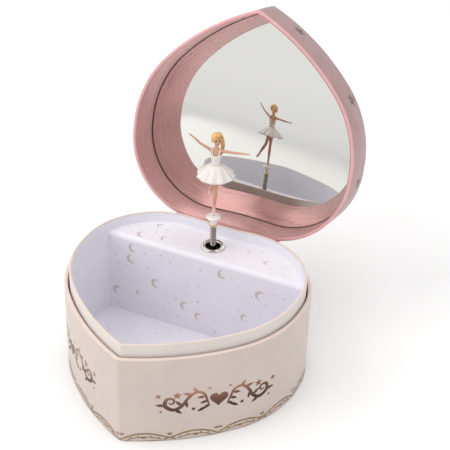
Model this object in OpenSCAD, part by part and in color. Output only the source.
// Heart-shaped musical jewellery box. A mirrored lid swings up from a papered card box, and a
// ballerina on a spring stem turns on the deck while the comb movement under it plays.
// Millimetres. The underside lies on Z = 0, the tip of the heart points to -Y, and the lid
// hinges along X at the rear. The origin is the middle of the heart's length and width.
// The lid stands open and the dancer upright.

/* [Heart outline] */
// Width of the heart over its outer wall
heart_w = 160; // [158:1:192]
// Radius of each rear lobe
lobe_r = 54; // [48:0.5:60]
// Straight stretch at the widest point
side_flat = 4; // [0:0.5:15]
// Radius of the flank just below the widest point
flank_r = 76; // [66:0.5:78]
// Angle turned by that flank
flank_turn = 42; // [36:0.5:48]
// Radius of the long side that runs to the tip
side_r = 163; // [140:1:196]
// Radius of the shallow notch between the lobes
notch_r = 289; // [240:1:340]

/* [Walls] */
// Height of the outer wall
wall_h = 64; // [62:0.5:78]
// Thickness of the outer wall
wall_t = 2.4; // [1.6:0.1:3.2]
// Air gap between the outer wall and the inner sleeve
sleeve_gap = 1; // [0.6:0.1:1.2]
// Thickness of the inner sleeve
sleeve_t = 1.4; // [1:0.1:2]
// Height by which the sleeve stands above the outer wall
sleeve_rise = 8.6; // [6:0.1:12]
// Thickness of the paper lining
lining_t = 0.4; // [0.3:0.05:0.6]
// Bare sleeve left above the lining
lining_drop = 0.8; // [0.4:0.1:2]
// Thickness of the base board
base_t = 2; // [1.6:0.1:3]
// Thickness of the padded floor lining
floor_t = 0.8; // [0.5:0.1:1.5]

/* [Deck] */
// Height of the deck's top face
deck_h = 65.5; // [63:0.5:68]
// Thickness of the deck board
deck_t = 1.6; // [1:0.1:2]
// Thickness of the printed paper on the deck
paper_t = 0.3; // [0.2:0.05:0.5]
// Outer radius of the fold between deck and partition
fold_r = 3.5; // [2.5:0.1:4.5]
// Depth of the mechanism housing from the rear of the heart to the partition's face
housing_d = 36; // [35:0.5:40]
// Outer diameter of the grommet's flange
grommet_d = 16.4; // [14.5:0.2:18]
// Diameter of the grommet's hole
grommet_hole_d = 10.4; // [8:0.2:11]
// Height of the grommet's flange above the deck
grommet_h = 1; // [0.6:0.1:1.5]

/* [Lid] */
// Angle by which the lid stands open
lid_open = 104; // [98:1:108]
// Depth of the lid
lid_h = 28; // [27:0.5:33]
// Thickness of the lid's wall
lid_wall_t = 2.2; // [1.6:0.1:2.4]
// Thickness of the lid's top board
lid_top_t = 1.6; // [1:0.1:2.4]
// Thickness of the paper inside the lid
lid_lining_t = 0.3; // [0.2:0.05:0.4]
// Thickness of the mirror
mirror_t = 1; // [0.7:0.1:1.5]
// Thickness of the card behind the mirror
backing_t = 0.4; // [0.3:0.1:0.8]
// Gap between the closed lid's rim and the outer wall's rim
rim_gap = 0.2; // [0.1:0.05:0.4]
// Distance of the hinge line behind the lobes
hinge_setback = 1.9; // [1.2:0.1:2.6]
// Half the length of the hinge strip
hinge_half = 40; // [30:1:44]
// Width of each leaf of the hinge strip
hinge_leaf = 9; // [6:0.5:12]
// Thickness of the hinge strip
hinge_t = 0.5; // [0.3:0.05:0.8]

/* [Dancer] */
// Distance of the dancer's axis from the rear of the heart
spindle_inset = 20; // [19:0.5:21]
// Outer diameter of the spring stem
stem_d = 4.1; // [3.6:0.1:4.6]
// Length of the spring stem
stem_l = 14.2; // [13:0.2:16]
// Height of the spindle's top above the deck
spindle_rise = 2.5; // [1.5:0.1:3]
// Height of the bend in the folding stem above the deck
fold_rise = 8.5; // [7.5:0.1:9.5]
// Angle through which the dancer folds as the lid closes
fold_angle = 100; // [98:1:102]
// Diameter of the pedestal disc
disc_d = 10; // [8:0.2:11]
// Thickness of the pedestal disc
disc_t = 2; // [1.4:0.1:2.8]
// Diameter of the pedestal's neck
neck_d = 4.7; // [4:0.1:5.4]
// Length of the pedestal's neck
neck_l = 4.8; // [3.5:0.1:6]
// Height of the dancer above the disc
figure_h = 58.6; // [52:0.2:64]
// Angle by which the dancer is turned towards +X
figure_turn = 15; // [0:1:90]

/* [Movement] */
// Tooth size of the main gears
gear_m = 0.8; // [0.8:0.01:0.84]
// Teeth on the spring barrel
barrel_teeth = 30; // [30]
// Teeth on the cylinder's pinion
cyl_teeth = 12; // [12]
// Teeth on the governor's pinion
gov_teeth = 10; // [10]
// Teeth on the crown wheel under the dancer
crown_teeth = 20; // [20]
// Teeth on the worm wheel
worm_teeth = 24; // [24]
// Tooth size of the worm wheel
worm_m = 0.5; // [0.5:0.01:0.52]
// Radius of the spring barrel
barrel_r = 10; // [9:0.1:10.2]
// Wall of the spring barrel
barrel_wall = 1; // [0.8:0.1:1.4]
// Radius of the pin cylinder
cyl_r = 6; // [5:0.1:6.2]
// Number of comb teeth
comb_count = 18; // [12:1:20]
// Length of the comb teeth
comb_l = 12; // [10:0.5:13]
// Thickness of the bedplate
bed_t = 2.5; // [2:0.1:3.5]
// Thickness of the two bearing plates
plate_t = 1.2; // [1:0.1:1.6]
// Radius of the winding arbor
key_arbor_r = 1.5; // [1.3:0.1:1.7]
// Radius of the winding key's wings
key_wing_r = 10; // [8:0.5:12]
// Running clearance of a shaft in its bore
run_fit = 0.05; // [0.03:0.01:0.1]

/* [Hidden] */

// Seat clearance of pieces glued or pressed together round a bore
seat = 0.02;

// ---------------------------------------------------------------- heart outline
// Centres of the arcs on the right half, with the widest point at y = 0.
flank_c = [heart_w / 2 - flank_r, 0];
lobe_c = [heart_w / 2 - lobe_r, side_flat];
side_c = flank_c + (side_r - flank_r) * [-cos(flank_turn), sin(flank_turn)];
notch_c = [0, lobe_c.y + sqrt(pow(lobe_r + notch_r, 2) - pow(lobe_c.x, 2))];
tip_y0 = side_c.y - sqrt(pow(side_r, 2) - pow(side_c.x, 2));
lobe_y0 = lobe_c.y + lobe_r;
mid_y = (tip_y0 + lobe_y0) / 2;

function arc(c, r, from, to, n) =
  [for (i = [0:n]) c + r * [cos(from + (to - from) * i / n), sin(from + (to - from) * i / n)]];

// Right half of the outline, moved inwards by d, from the tip round to the notch.
function half_heart(d) =
  let (
    tip_a = -acos(-side_c.x / (side_r - d)),
    lobe_a = atan2(notch_c.y - lobe_c.y, -lobe_c.x),
    notch_a = atan2(lobe_c.y - notch_c.y, lobe_c.x),
    side = arc(side_c, side_r - d, tip_a, -flank_turn, 32),
    flank = arc(flank_c, flank_r - d, -flank_turn, 0, 16),
    lobe = arc(lobe_c, lobe_r - d, 0, lobe_a, 30),
    notch = arc(notch_c, notch_r + d, notch_a, -90, 6)
  )
  [for (p = concat([for (i = [0:31]) side[i]], flank, [for (i = [0:29]) lobe[i]], notch))
    [p.x, p.y - mid_y]];

function heart(d) =
  let (right = half_heart(d), n = len(right))
  concat(right, [for (i = [n - 2:-1:1]) [-right[i].x, right[i].y]]);

module heart_plate(d, z0, z1) {
  translate([0, 0, z0]) linear_extrude(height = z1 - z0) polygon(heart(d));
}

module heart_ring(d0, d1, z0, z1) {
  translate([0, 0, z0]) linear_extrude(height = z1 - z0) difference() {
    polygon(heart(d0));
    polygon(heart(d1));
  }
}

// ---------------------------------------------------------------- derived sizes
rear_y = notch_c.y - notch_r - mid_y;
lobe_y = lobe_y0 - mid_y;
sleeve_in = wall_t + sleeve_gap;
lining_in = sleeve_in + sleeve_t;
room_in = lining_in + lining_t;
sleeve_h = wall_h + sleeve_rise;
board_top = deck_h - paper_t;
partition_y = rear_y - housing_d;

spindle_y = rear_y - spindle_inset;
spindle_top = deck_h + spindle_rise;
fold_z = deck_h + fold_rise;
stem_top = spindle_top + stem_l;
collar_t = 1.5;
collar_r = 2.9;
disc_z = stem_top + collar_t + neck_l;
figure_z = disc_z + disc_t;

hinge_y = lobe_y + hinge_setback;
hinge_z = wall_h;
lid_z = hinge_z + rim_gap;
lid_in = lid_wall_t + lid_lining_t;
lid_under = lid_z + lid_h - lid_top_t;
mirror_z = lid_under - backing_t - mirror_t;

// The lid is drawn closed and swung up about the hinge line.
module opened() {
  translate([0, hinge_y, hinge_z]) rotate([-lid_open, 0, 0])
    translate([0, -hinge_y, -hinge_z]) children();
}

function swing(p) = [
  p.x,
  hinge_y + (p.y - hinge_y) * cos(lid_open) + (p.z - hinge_z) * sin(lid_open),
  hinge_z - (p.y - hinge_y) * sin(lid_open) + (p.z - hinge_z) * cos(lid_open)
];

// ---------------------------------------------------------------- movement layout
bed_z = base_t + bed_t;
barrel_gear_r = gear_m * barrel_teeth / 2;
cyl_gear_r = gear_m * cyl_teeth / 2;
gov_gear_r = gear_m * gov_teeth / 2;
crown_r = gear_m * crown_teeth / 2;
worm_wheel_r = worm_m * worm_teeth / 2;
axis_z = bed_z + barrel_gear_r + 2.5;
cyl_x = barrel_gear_r + cyl_gear_r;
gov_x = -(barrel_gear_r + gov_gear_r);
worm_r = 1.55;
worm_x = gov_x - worm_wheel_r - worm_r;
worm_y = spindle_y - 10;

front_plate_y = spindle_y - 13;
gear_w = 2.5;
gear_y = spindle_y + crown_r - 1.6;
plate_gap = 1.1;
rear_plate_y = gear_y + gear_w + plate_gap;
drum_y0 = spindle_y - 8;
drum_y1 = gear_y - 0.4;
cyl_y0 = spindle_y - 10;
plate_top = axis_z + barrel_gear_r + gear_m + 5.2;
plate_x0 = gov_x - 4;
plate_x1 = cyl_x + 6;
crown_plate_z = axis_z + barrel_gear_r + 2.2;
crown_tooth_z = axis_z + barrel_gear_r - 0.5 * gear_m;
bridge_t = 1.5;
bridge_half = 5;
spindle_r = 1.5;
cyl_arbor_r = 1;
gov_arbor_r = 0.8;
worm_shaft_r = 0.6;
cover_t = 0.8;

comb_z = axis_z;
comb_t = 0.9;
comb_pitch = 0.75;
comb_gap = 0.9;
comb_tip_x = cyl_x + cyl_r + comb_gap;
comb_root_x = comb_tip_x + comb_l;
comb_base_l = 7;
comb_w = comb_count * comb_pitch + 1;
comb_y0 = spindle_y - 2 - comb_w / 2;

bed_x0 = worm_x - 14;
bed_x1 = comb_root_x + comb_base_l + 0.5;
bed_y0 = front_plate_y - 0.4;
bed_y1 = rear_plate_y + plate_t + 0.4;
bed_screw_r = 1.25;
bed_screw_head_r = 2.4;
bed_screw_head_t = 1.3;
bed_screw_bite = 1.5;
bed_screw_xy = [
  for (x = [bed_x0 + 4, comb_tip_x + 5]) for (y = [bed_y0 + 3.2, bed_y1 - 3]) [x, y]
];
comb_screw_r = 0.9;
comb_screw_head_r = 1.8;
comb_screw_head_t = 1;
comb_screw_bite = 4;
comb_screw_xy = [
  for (s = [-1, 1]) [comb_root_x + comb_base_l / 2, comb_y0 + comb_w / 2 + s * comb_w * 0.3]
];

key_bore_r = key_arbor_r + 0.6;
escutcheon_r = 5;
escutcheon_t = 0.8;
key_y = rear_y + escutcheon_t + 1.2;
key_boss_r = 3.2;
key_boss_l = 6;
key_wing_l = 13;
key_wing_t = 2;

// Turns a shape drawn along Z so that it runs along +Y, starting at y.
module along_y(x, y, z) {
  translate([x, y, z]) rotate([-90, 0, 0]) children();
}

// Outline of a gear with slim, free-running teeth; one tooth is centred on +X.
function gear_outline(teeth, m, phase) =
  let (step = 360 / teeth, pitch_r = m * teeth / 2)
  [for (i = [0:teeth - 1]) for (p = [[-0.2, -1.15], [-0.09, 0.85], [0.09, 0.85], [0.2, -1.15]])
    let (a = (i + p.x + phase) * step, r = pitch_r + p.y * m) r * [cos(a), sin(a)]];

module gear(teeth, m, phase, w) {
  linear_extrude(height = w) polygon(gear_outline(teeth, m, phase));
}

// ---------------------------------------------------------------- box
module key_way(y0, y1) {
  along_y(0, y0, axis_z) cylinder(r = key_bore_r, h = y1 - y0, $fn = 48);
}

module outer_wall() {
  color("seashell") difference() {
    heart_ring(0, wall_t, 0, wall_h);
    key_way(rear_y - wall_t - 1, rear_y + 1);
  }
}

module base_board() {
  color("tan") difference() {
    heart_plate(wall_t, 0, base_t);
    for (p = bed_screw_xy) translate([p.x, p.y, base_t - bed_screw_bite])
      cylinder(r = bed_screw_r + seat, h = bed_screw_bite + 1, $fn = 32);
  }
}

module inner_sleeve() {
  color("ivory") difference() {
    heart_ring(sleeve_in, lining_in, base_t, sleeve_h);
    key_way(rear_y - lining_in - 1, rear_y);
  }
}

module sleeve_lining() {
  color("lavender") difference() {
    heart_ring(lining_in, room_in, base_t, sleeve_h - lining_drop);
    key_way(rear_y - room_in - 1, rear_y);
  }
}

module floor_lining() {
  color("lavender") intersection() {
    heart_plate(room_in, base_t, base_t + floor_t);
    translate([-heart_w, partition_y - 2 * heart_w, 0]) cube([2 * heart_w, 2 * heart_w, wall_h]);
  }
}

// Side view of the folded card, in (y, z): partition, round fold and deck.
function fold_profile(y0, top, r, t) =
  let (c = [y0 + r, top - r], far = lobe_y + 5)
  concat([[y0, base_t]], arc(c, r, 180, 90, 10), [[far, top], [far, top - t]],
    arc(c, r - t, 90, 180, 10), [[y0 + t, base_t]]);

module folded_card(y0, top, r, t) {
  intersection() {
    heart_plate(room_in + 0.05, base_t, sleeve_h);
    translate([-heart_w / 2, 0, 0]) rotate([90, 0, 90]) linear_extrude(height = heart_w)
      polygon(fold_profile(y0, top, r, t));
  }
}

module grommet_way(r) {
  translate([0, spindle_y, deck_h - 10]) cylinder(r = r, h = 20, $fn = 64);
}

grommet_r = grommet_hole_d / 2;
grommet_wall = 0.7;
deck_hole_r = grommet_r + grommet_wall + 0.05;

module platform_board() {
  color("thistle") difference() {
    folded_card(partition_y + paper_t, board_top, fold_r - paper_t, deck_t);
    grommet_way(deck_hole_r);
  }
}

module platform_paper() {
  color("plum") difference() {
    folded_card(partition_y, deck_h, fold_r, paper_t);
    grommet_way(deck_hole_r);
  }
}

washer_t = 0.8;
module deck_grommet() {
  flange_r = grommet_d / 2;
  throat_z = board_top - deck_t - washer_t;
  color("silver") translate([0, spindle_y, 0]) rotate_extrude($fn = 96) polygon(concat(
    [[grommet_r, throat_z], [grommet_r + grommet_wall, throat_z],
      [grommet_r + grommet_wall, deck_h], [flange_r, deck_h]],
    arc([flange_r - grommet_h * 0.6, deck_h + grommet_h * 0.4], grommet_h * 0.6, 0, 90, 5),
    arc([grommet_r + grommet_h * 0.6, deck_h + grommet_h * 0.4], grommet_h * 0.6, 90, 180, 5)));
}

module grommet_washer() {
  color("silver") translate([0, spindle_y, board_top - deck_t - washer_t]) difference() {
    cylinder(r = grommet_d / 2 - 0.4, h = washer_t, $fn = 64);
    translate([0, 0, -1]) cylinder(r = deck_hole_r, h = washer_t + 2, $fn = 64);
  }
}

// The strip follows the rear of the heart: down the wall, across the hinge and along the lid.
hinge_path = [for (p = heart(-0.05)) if (p.y > partition_y && abs(p.x) <= hinge_half) p];
hinge_lid_z = lid_z + hinge_leaf;
function strip_section(p) = [
  [p.x, p.y, hinge_z - hinge_leaf],
  [p.x, p.y, hinge_z],
  swing([p.x, p.y, lid_z]),
  swing([p.x, p.y, hinge_lid_z]),
  swing([p.x, p.y + hinge_t, hinge_lid_z]),
  swing([p.x, p.y + hinge_t, lid_z - 0.1]),
  [p.x, p.y + hinge_t, hinge_z - 0.2],
  [p.x, p.y + hinge_t, hinge_z - hinge_leaf]
];

module hinge_strip() {
  n = len(hinge_path);
  k = 8;
  points = [for (p = hinge_path) each strip_section(p)];
  sides = [for (i = [0:n - 2]) for (j = [0:k - 1])
    let (a = i * k + j, b = i * k + (j + 1) % k)
    each [[a, b, b + k], [a, b + k, a + k]]];
  last = (n - 1) * k;
  ends = [for (j = [0:k / 2 - 2]) each [
    [j, k - 1 - j, k - 2 - j], [j, k - 2 - j, j + 1],
    [last + j, last + k - 2 - j, last + k - 1 - j], [last + j, last + j + 1, last + k - 2 - j]
  ]];
  color("pink") polyhedron(points = points, faces = concat(sides, ends), convexity = 6);
}

module key_escutcheon() {
  wall_y = rear_y + notch_r - sqrt(pow(notch_r, 2) - pow(escutcheon_r + 1, 2));
  color("silver") along_y(0, wall_y, axis_z) difference() {
    cylinder(r = escutcheon_r, h = escutcheon_t, $fn = 64);
    translate([0, 0, -1]) cylinder(r = key_bore_r, h = escutcheon_t + 2, $fn = 48);
  }
}

// ---------------------------------------------------------------- movement, fixed pieces
module bedplate() {
  block_x = comb_root_x + 0.3;
  color("darkgray") difference() {
    union() {
      translate([bed_x0, bed_y0, base_t]) cube([bed_x1 - bed_x0, bed_y1 - bed_y0, bed_t]);
      translate([block_x, comb_y0, bed_z - 0.5])
        cube([comb_base_l - 0.3, comb_w, comb_z - bed_z + 0.5]);
    }
    for (p = bed_screw_xy) translate([p.x, p.y, base_t - 1])
      cylinder(r = bed_screw_r + seat, h = bed_t + 2, $fn = 32);
    for (p = comb_screw_xy) translate([p.x, p.y, comb_z - comb_screw_bite])
      cylinder(r = comb_screw_r + seat, h = comb_screw_bite + 1, $fn = 32);
    translate([worm_x, worm_y, bed_z - 1.5])
      cylinder(r = worm_shaft_r + run_fit, h = 3, $fn = 32);
  }
}

module screw(r, l, head_r, head_t) {
  difference() {
    union() {
      translate([0, 0, -l]) cylinder(r = r, h = l + 0.1, $fn = 32);
      cylinder(r = head_r, h = head_t, $fn = 40);
    }
    translate([-head_r - 1, -0.25, head_t * 0.55]) cube([2 * head_r + 2, 0.5, head_t]);
  }
}

module bedplate_screws() {
  color("gold") for (p = bed_screw_xy) translate([p.x, p.y, bed_z])
    screw(bed_screw_r, bed_t + bed_screw_bite - 0.1, bed_screw_head_r, bed_screw_head_t);
}

// A bearing plate stands on the bedplate and carries the barrel, cylinder and governor arbors.
module bearing_plate(y) {
  bores = [[0, key_arbor_r], [cyl_x, cyl_arbor_r], [gov_x, gov_arbor_r]];
  low = axis_z + 5;
  color("khaki") difference() {
    translate([0, y, 0]) rotate([90, 0, 180]) translate([0, 0, 0]) linear_extrude(height = plate_t)
      polygon([[-plate_x1, bed_z], [-plate_x0, bed_z], [-plate_x0, low], [bridge_half, plate_top],
        [-bridge_half, plate_top], [-plate_x1, low]]);
    for (b = bores) along_y(b[0], y - 1, axis_z)
      cylinder(r = b[1] + run_fit, h = plate_t + 2, $fn = 40);
  }
}

module front_bearing_plate() { bearing_plate(front_plate_y); }

module rear_bearing_plate() { bearing_plate(rear_plate_y); }

module bearing_bridge() {
  color("khaki") difference() {
    translate([-bridge_half, front_plate_y, plate_top])
      cube([2 * bridge_half, rear_plate_y + plate_t - front_plate_y, bridge_t]);
    translate([0, spindle_y, plate_top - 1])
      cylinder(r = spindle_r + run_fit, h = bridge_t + 2, $fn = 40);
  }
}

// The bracket stands beside the worm and holds the top of its shaft.
bracket_z = axis_z + 6;
module governor_bracket() {
  post_x = worm_x - 6;
  color("khaki") difference() {
    union() {
      translate([post_x, worm_y - 2, bed_z]) cube([1.2, 4, bracket_z + 1.2 - bed_z]);
      translate([post_x, worm_y - 2, bracket_z]) cube([worm_x + 2 - post_x, 4, 1.2]);
      translate([post_x, worm_y - 2, bed_z]) cube([4.5, 4, 1]);
    }
    translate([worm_x, worm_y, bracket_z - 1])
      cylinder(r = worm_shaft_r + run_fit, h = 4, $fn = 32);
  }
}

module music_comb() {
  tooth_w = comb_pitch * 0.6;
  color("lightsteelblue") difference() {
    union() {
      translate([comb_root_x, comb_y0, comb_z]) cube([comb_base_l, comb_w, comb_t]);
      for (i = [0:comb_count - 1])
        translate([comb_tip_x, comb_y0 + 0.5 + (i + 0.2) * comb_pitch, comb_z])
          cube([comb_l + 0.2, tooth_w, comb_t * 0.6]);
    }
    for (p = comb_screw_xy) translate([p.x, p.y, comb_z - 1])
      cylinder(r = comb_screw_r + seat, h = comb_t + 2, $fn = 32);
  }
}

module comb_screws() {
  color("gold") for (p = comb_screw_xy) translate([p.x, p.y, comb_z + comb_t])
    screw(comb_screw_r, comb_t + comb_screw_bite - 0.1, comb_screw_head_r, comb_screw_head_t);
}

// ---------------------------------------------------------------- key
module winding_arbor() {
  color("silver") along_y(0, front_plate_y, axis_z)
    cylinder(r = key_arbor_r, h = key_y + key_boss_l - 1 - front_plate_y, $fn = 48);
}

module winding_key() {
  color("silver") along_y(0, key_y, axis_z) difference() {
    union() {
      cylinder(r = key_boss_r, h = key_boss_l, $fn = 48);
      for (s = [-1, 1]) hull() {
        translate([s * (key_wing_r - 4), 0, key_boss_l + key_wing_l - 5.5]) rotate([90, 0, 0])
          cylinder(r = 4, h = key_wing_t, center = true, $fn = 32);
        translate([s * 0.8, 0, key_boss_l - 1.2]) rotate([90, 0, 0])
          cylinder(r = 1, h = key_wing_t, center = true, $fn = 32);
      }
    }
    translate([0, 0, -1]) cylinder(r = key_arbor_r + seat, h = key_boss_l, $fn = 48);
  }
}

// ---------------------------------------------------------------- spring barrel
module barrel_drum() {
  l = drum_y1 - drum_y0 - cover_t;
  color("gold") along_y(0, drum_y0 + cover_t, axis_z) difference() {
    union() {
      cylinder(r = barrel_r, h = l, $fn = 72);
      translate([0, 0, l - 0.1]) cylinder(r = 4, h = gear_y - drum_y1 + 0.2, $fn = 48);
      translate([0, 0, l + gear_y - drum_y1]) gear(barrel_teeth, gear_m, 0, gear_w);
    }
    translate([0, 0, -1]) cylinder(r = barrel_r - barrel_wall, h = l - barrel_wall + 1, $fn = 72);
    translate([0, 0, -2]) cylinder(r = key_arbor_r + run_fit, h = 60, $fn = 48);
  }
}

module barrel_cover() {
  color("gold") along_y(0, drum_y0, axis_z) difference() {
    cylinder(r = barrel_r, h = cover_t, $fn = 72);
    translate([0, 0, -1]) cylinder(r = key_arbor_r + run_fit, h = cover_t + 2, $fn = 48);
  }
}

// The wound strip lies against the drum's floor and its outer end presses on the drum's wall.
module mainspring() {
  turns = 5;
  steps = 24;
  inner = key_arbor_r + 1.2;
  outer = barrel_r - barrel_wall - 0.05;
  strip = 0.45;
  edge = function(offset) [for (i = [0:turns * steps])
    let (a = 360 * i / steps, r = inner + (outer - inner) * i / (turns * steps) - offset)
    r * [cos(a), sin(a)]];
  width = drum_y1 - drum_y0 - cover_t - barrel_wall - 1;
  outside = edge(0);
  inside = edge(strip);
  color("dimgray") along_y(0, drum_y0 + cover_t + 0.95, axis_z) linear_extrude(height = width)
    polygon(concat(outside, [for (i = [len(inside) - 1:-1:0]) inside[i]]));
}

// ---------------------------------------------------------------- pin cylinder
module pin_cylinder() {
  color("gold") along_y(cyl_x, cyl_y0, axis_z) difference() {
    cylinder(r = cyl_r, h = drum_y1 - cyl_y0, $fn = 72);
    translate([0, 0, -1]) cylinder(r = cyl_arbor_r + seat, h = 60, $fn = 40);
  }
}

module cylinder_arbor() {
  color("silver") along_y(cyl_x, front_plate_y, axis_z) union() {
    cylinder(r = cyl_arbor_r, h = rear_plate_y + plate_t - front_plate_y, $fn = 40);
    translate([0, 0, gear_y - front_plate_y]) gear(cyl_teeth, gear_m, 0.5, gear_w);
  }
}

// ---------------------------------------------------------------- governor
module governor_wheel() {
  color("gold") along_y(gov_x, front_plate_y, axis_z) union() {
    cylinder(r = gov_arbor_r, h = rear_plate_y + plate_t - front_plate_y, $fn = 40);
    translate([0, 0, gear_y - front_plate_y]) gear(gov_teeth, gear_m, 0.5, gear_w);
    translate([0, 0, worm_y - 0.6 - front_plate_y]) gear(worm_teeth, worm_m, 0, 1.2);
  }
}

// A single-start worm: a cam outline twisted once round for each tooth of pitch. Its length is
// an odd number of pitches, so a wheel tooth lies between two threads at mid-length.
worm_pitch = PI * worm_m;
worm_l = 5 * worm_pitch;
module governor_worm() {
  core = worm_r - 0.6;
  crest = worm_r + 0.35;
  cam = concat(arc([0, 0], core, -270, -60, 10), arc([0, 0], crest, -30, 30, 4),
    [core * [cos(60), sin(60)]]);
  color("silver") translate([worm_x, worm_y, 0]) union() {
    translate([0, 0, bed_z - 1.2]) cylinder(r = worm_shaft_r, h = axis_z - worm_l / 2 - bed_z + 1.2, $fn = 32);
    translate([0, 0, axis_z - worm_l / 2]) linear_extrude(height = worm_l,
      twist = -360 * worm_l / worm_pitch, slices = 80) polygon(cam);
    translate([0, 0, axis_z]) cylinder(r = worm_shaft_r, h = worm_l / 2 + 14, $fn = 32);
  }
}

fan_z = axis_z + 10.5;
module air_fan() {
  color("silver") translate([worm_x, worm_y, fan_z]) difference() {
    union() {
      cylinder(r = 1.3, h = 5.5, $fn = 32);
      translate([-4.8, -0.25, 0.5]) cube([9.6, 0.5, 4.5]);
    }
    translate([0, 0, -1]) cylinder(r = worm_shaft_r + seat, h = 8, $fn = 32);
  }
}

// ---------------------------------------------------------------- spindle
module spindle_shaft() {
  collar_z = plate_top + bridge_t + 0.05;
  sleeve_z = deck_h - 9;
  color("silver") translate([0, spindle_y, 0]) union() {
    translate([0, 0, crown_plate_z]) cylinder(r = spindle_r, h = sleeve_z - crown_plate_z + 1, $fn = 40);
    translate([0, 0, collar_z]) cylinder(r = 2.6, h = 1.5, $fn = 40);
    translate([0, 0, sleeve_z]) cylinder(d = stem_d, h = spindle_top - sleeve_z, $fn = 48);
  }
}

module crown_wheel() {
  tooth_w = gear_m * 0.85;
  disc = 1.4;
  color("gold") translate([0, spindle_y, 0]) difference() {
    union() {
      translate([0, 0, crown_plate_z]) cylinder(r = crown_r + 0.6, h = disc, $fn = 64);
      translate([0, 0, crown_plate_z]) cylinder(r = 3, h = plate_top - 0.05 - crown_plate_z, $fn = 40);
      for (i = [0:crown_teeth - 1]) rotate([0, 0, 90 + i * 360 / crown_teeth])
        translate([crown_r - 0.95, -tooth_w / 2, crown_tooth_z])
          cube([1.3, tooth_w, crown_plate_z - crown_tooth_z + 0.1]);
    }
    translate([0, 0, crown_plate_z - 5]) cylinder(r = spindle_r + seat, h = 30, $fn = 40);
  }
}

// ---------------------------------------------------------------- stem and dancer
module stem_spring() {
  color("silver") translate([0, spindle_y, spindle_top]) difference() {
    cylinder(d = stem_d, h = stem_l, $fn = 48);
    translate([0, 0, -1]) cylinder(d = stem_d - 1.6, h = stem_l + 2, $fn = 48);
  }
}

module stem_collar() {
  color("goldenrod") translate([0, spindle_y, stem_top]) cylinder(r = collar_r, h = collar_t, $fn = 48);
}

module dancer_pedestal() {
  dome = disc_t * 0.35;
  color("white") translate([0, spindle_y, stem_top + collar_t]) rotate_extrude($fn = 64)
    polygon(concat([[0, 0], [neck_d / 2, 0], [neck_d / 2, neck_l], [disc_d / 2 - 0.4, neck_l],
      [disc_d / 2, neck_l + 0.4], [disc_d / 2, neck_l + disc_t - dome]],
      [[disc_d / 2 - dome, neck_l + disc_t], [0, neck_l + disc_t]]));
}

// The figure is drawn on the disc, facing -Y, at a height of 58.6, then scaled to figure_h.
module figure() {
  translate([0, spindle_y, figure_z]) rotate([0, 0, figure_turn]) scale(figure_h / 58.6)
    children();
}

module limb(p, q, rp, rq) {
  hull() {
    translate(p) sphere(r = rp, $fn = 20);
    translate(q) sphere(r = rq, $fn = 20);
  }
}

head_c = [0, 4.2, 54.2];
head_r = 3.9;
shoulder_z = 46.3;
waist_z = 36.5;

// The face and skull under the hair, shrunk by a small clearance.
module head(shrink = 0) {
  translate(head_c) scale([0.92, 1, 1.12]) sphere(r = head_r - 0.3 - shrink, $fn = 28);
}

module bodice() {
  hull() {
    translate([0, 3.4, waist_z]) scale([1, 0.78, 1]) cylinder(r = 3.2, h = 1, $fn = 32);
    translate([0, 3.9, 42]) scale([1, 0.78, 1]) cylinder(r = 4.2, h = 3, $fn = 32);
  }
}

module dancer_body() {
  color("bisque") figure() {
    difference() {
      union() {
        limb([0, 0.2, 4.5], [0.4, 1.8, 20], 1.15, 1.7);
        limb([0.4, 1.8, 20], [0.8, 3.2, 33.5], 1.7, 2.1);
        limb([-1, 3.6, 33.5], [-2.2, 5.6, 20.5], 2.1, 1.6);
        limb([-2.2, 5.6, 20.5], [-4.6, 11.6, 10.5], 1.6, 1.05);
        limb([-0.8, 3.4, 34.5], [0.8, 3.4, 34.5], 2.0, 2.0);
      }
      translate([-20, -20, -1]) cube([40, 40, 5.6]);
      translate([-20, -20, waist_z - 0.3]) cube([40, 40, 20]);
      rear_shoe();
    }
    translate([0, 0, 0]) difference() {
      union() {
        limb([-3.6, 4.1, shoulder_z], [3.6, 4.1, shoulder_z], 1.7, 1.7);
        limb([0, 4.1, shoulder_z - 0.8], [0, 4.2, 51.5], 1.7, 1.35);
        head(0.05);
        limb([-4, 4.1, shoulder_z + 0.2], [-10.4, 3.3, 50.4], 1.4, 1.05);
        limb([-10.4, 3.3, 50.4], [-17, 2.4, 56.8], 1.05, 0.8);
        limb([4, 4.1, shoulder_z + 0.1], [12.4, 4.8, 45.6], 1.4, 1.05);
        limb([12.4, 4.8, 45.6], [20.8, 5.6, 45], 1.05, 0.8);
      }
      bodice();
    }
    translate([0, 3.4, waist_z - 0.3]) scale([1, 0.78, 1]) cylinder(r = 2.4, h = 0.3, $fn = 24);
  }
}

module dancer_dress() {
  color("white") figure() {
    bodice();
    translate([0, 3.4, 0]) rotate_extrude($fn = 48) polygon([
      [2.5, waist_z + 0.3], [3.4, waist_z + 1.2], [5.4, waist_z - 0.3], [8.6, waist_z - 3.6],
      [12.2, waist_z - 8.2], [11.6, waist_z - 8.9], [7.9, waist_z - 5.4], [4.8, waist_z - 2],
      [2.9, waist_z - 0.7]
    ]);
  }
}

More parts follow.
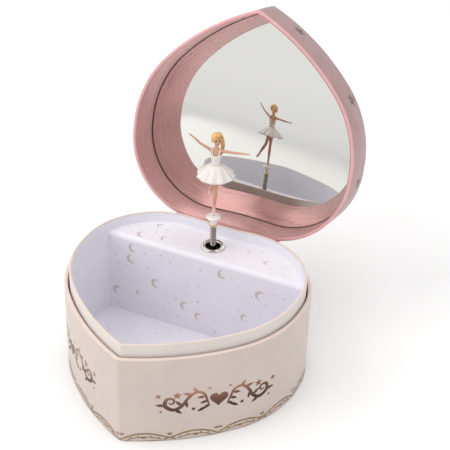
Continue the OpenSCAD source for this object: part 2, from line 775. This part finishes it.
module dancer_hair() {
  color("khaki") figure() difference() {
    union() {
      limb(head_c + [0, 0.35, 0.1], head_c + [0, 0.35, 0.5], head_r, head_r);
      limb(head_c + [0, 0.6, 2.4], head_c + [0, 1.2, 3.1], 2.2, 2.2);
      limb(head_c + [2.2, 3.4, 1.2], head_c + [2.7, 4.9, -5], 1.7, 1.9);
      limb(head_c + [2.7, 4.9, -5], head_c + [2.9, 5.3, -10], 1.9, 1.5);
      limb(head_c + [2.9, 5.3, -10], head_c + [2.2, 5.2, -14], 1.5, 0.8);
    }
    hull() head();
    limb([0, 4.1, shoulder_z - 0.8], [0, 4.2, 51.5], 1.75, 1.4);
    hull() translate(head_c + [-6, -9.2, -9.5]) cube([12, 9, 12]);
    hull() translate(head_c + [-6, -9, -12]) cube([12, 11.4, 8.6]);
  }
}

module rear_shoe() {
  limb([-4.35, 11, 11.5], [-5.3, 13.6, 7.2], 1.3, 0.9);
}

module dancer_shoes() {
  color("hotpink") figure() {
    cylinder(r1 = 0.9, r2 = 1.35, h = 4.6, $fn = 32);
    rear_shoe();
  }
}

// ---------------------------------------------------------------- lid
module lid_wall() {
  color("pink") opened() heart_ring(0, lid_wall_t, lid_z, lid_z + lid_h - lid_top_t);
}

module lid_top() {
  color("palevioletred") opened() heart_plate(0, lid_under, lid_under + lid_top_t);
}

module lid_lining() {
  color("lightpink") opened() heart_ring(lid_wall_t, lid_in, lid_z, lid_under);
}

module mirror() {
  color("lightsteelblue") opened() heart_plate(lid_in + 0.05, mirror_z, mirror_z + mirror_t);
}

module mirror_backing() {
  color("tan") opened() heart_plate(lid_in + 0.05, mirror_z + mirror_t, lid_under);
}

outer_wall();
base_board();
inner_sleeve();
sleeve_lining();
floor_lining();
platform_board();
platform_paper();
deck_grommet();
grommet_washer();
hinge_strip();
key_escutcheon();
bedplate();
bedplate_screws();
front_bearing_plate();
rear_bearing_plate();
bearing_bridge();
governor_bracket();
music_comb();
comb_screws();
winding_arbor();
winding_key();
barrel_drum();
barrel_cover();
mainspring();
pin_cylinder();
cylinder_arbor();
governor_wheel();
governor_worm();
air_fan();
spindle_shaft();
crown_wheel();
stem_spring();
stem_collar();
dancer_pedestal();
dancer_body();
dancer_dress();
dancer_hair();
dancer_shoes();
lid_wall();
lid_top();
lid_lining();
mirror();
mirror_backing();
